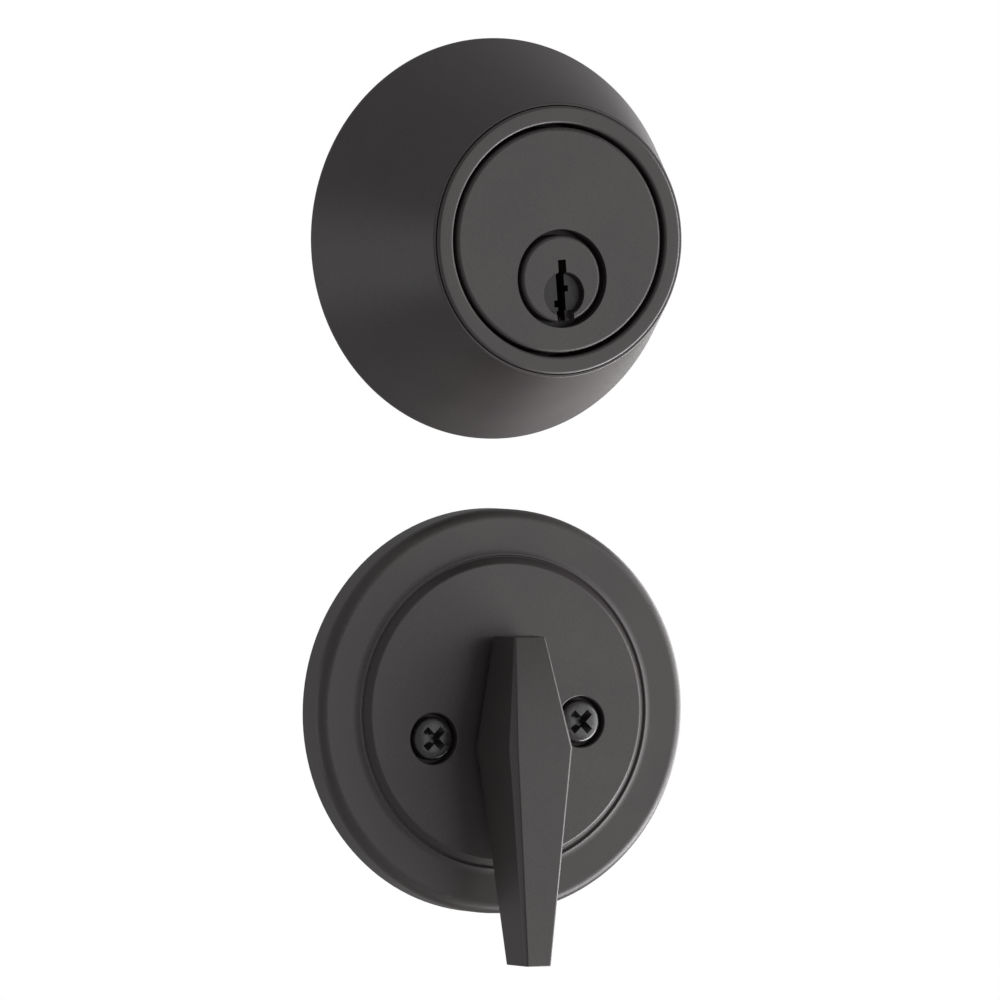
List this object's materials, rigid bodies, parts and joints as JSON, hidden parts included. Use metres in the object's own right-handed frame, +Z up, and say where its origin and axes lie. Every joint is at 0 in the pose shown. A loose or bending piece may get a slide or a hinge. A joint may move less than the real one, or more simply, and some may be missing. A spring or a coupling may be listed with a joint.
{
  "type": "deadbolt door lock",
  "caption": "Single-cylinder deadbolt: conical keyed collar, round thumbturn rosette, tubular bolt unit and strike, in a dark bronze finish.",
  "frame": {"origin": "centre of the exterior trim's back, where its round spigot meets the plane of the door's face", "axes": "+X the way the bolt is thrown, +Y from the trims' faces into the door, +Z up"},
  "size_m": [0.147, 0.0752, 0.219],
  "materials": {
    "dark_bronze": "satin dark bronze over cast zinc",
    "brass": "turned brass",
    "nickel": "nickel-plated",
    "spring_steel": "spring steel",
    "zinc_steel": "zinc-plated stamped steel",
    "hard_steel": "hardened ground steel",
    "bolt_metal": "satin steel",
    "black_screw": "blackened steel",
    "black_plastic": "moulded black plastic"
  },
  "bodies": {
    "lock": {"collar": "dark_bronze", "guard_ring": "dark_bronze", "cylinder_body": "dark_bronze", "driver_pins": "nickel", "pin_springs": "spring_steel", "pin_cover": "brass", "collar_insert": "zinc_steel", "rosette": "dark_bronze", "mounting_plate": "zinc_steel", "mounting_screws": "black_screw", "faceplate": "dark_bronze", "backing_plate": "zinc_steel", "bolt_tube": "zinc_steel", "case_front": "zinc_steel", "case_back": "zinc_steel", "case_rivets": "nickel", "faceplate_screws": "black_screw", "strike_plate": "dark_bronze", "strike_reinforcer": "zinc_steel", "strike_box": "black_plastic", "strike_screws": "black_screw"},
    "plug": {"plug": "dark_bronze", "key_pins": "brass", "plug_clip": "spring_steel", "tail_cap": "brass"},
    "tailpiece": {"tailpiece": "zinc_steel"},
    "thumbturn": {"thumbturn": "dark_bronze", "turn_spindle": "zinc_steel", "turn_clip": "spring_steel", "turn_washer": "spring_steel"},
    "cam": {"cam": "brass"},
    "bolt": {"bolt_head": "bolt_metal", "roller_pin": "hard_steel", "bolt_tail": "zinc_steel", "tail_pin": "hard_steel"}
  },
  "joints": [
    {"name": "thumbturn_turn", "type": "hinge", "parent": "lock", "child": "thumbturn", "pos_m": [-0.00066, 0, -0.08248], "axis": [0, 1, 0], "range_deg": [0, 90]},
    {"name": "bolt_cam_turn", "type": "hinge", "parent": "lock", "child": "cam", "pos_m": [0, 0, -0.1642], "axis": [0, 1, 0], "range_deg": [0, 90]},
    {"name": "bolt_throw", "type": "slide", "parent": "lock", "child": "bolt", "axis": [1, 0, 0], "range_m": [0, 0.0254]},
    {"name": "tailpiece_turn", "type": "hinge", "parent": "lock", "child": "tailpiece", "pos_m": [0.00049, 0, -0.00618], "axis": [0, 1, 0], "range_deg": [-90, 0]},
    {"name": "plug_turn", "type": "hinge", "parent": "lock", "child": "plug", "pos_m": [0.00049, 0, -0.00618], "axis": [0, 1, 0], "range_deg": [-90, 0]}
  ],
  "couplings": [
    {"joint": "bolt_cam_turn", "follows": "thumbturn_turn", "ratio": 1},
    {"joint": "bolt_throw", "follows": "thumbturn_turn", "m_per_rad": 0.01617},
    {"joint": "tailpiece_turn", "follows": "thumbturn_turn", "ratio": -1},
    {"joint": "plug_turn", "follows": "thumbturn_turn", "ratio": -1}
  ]
}
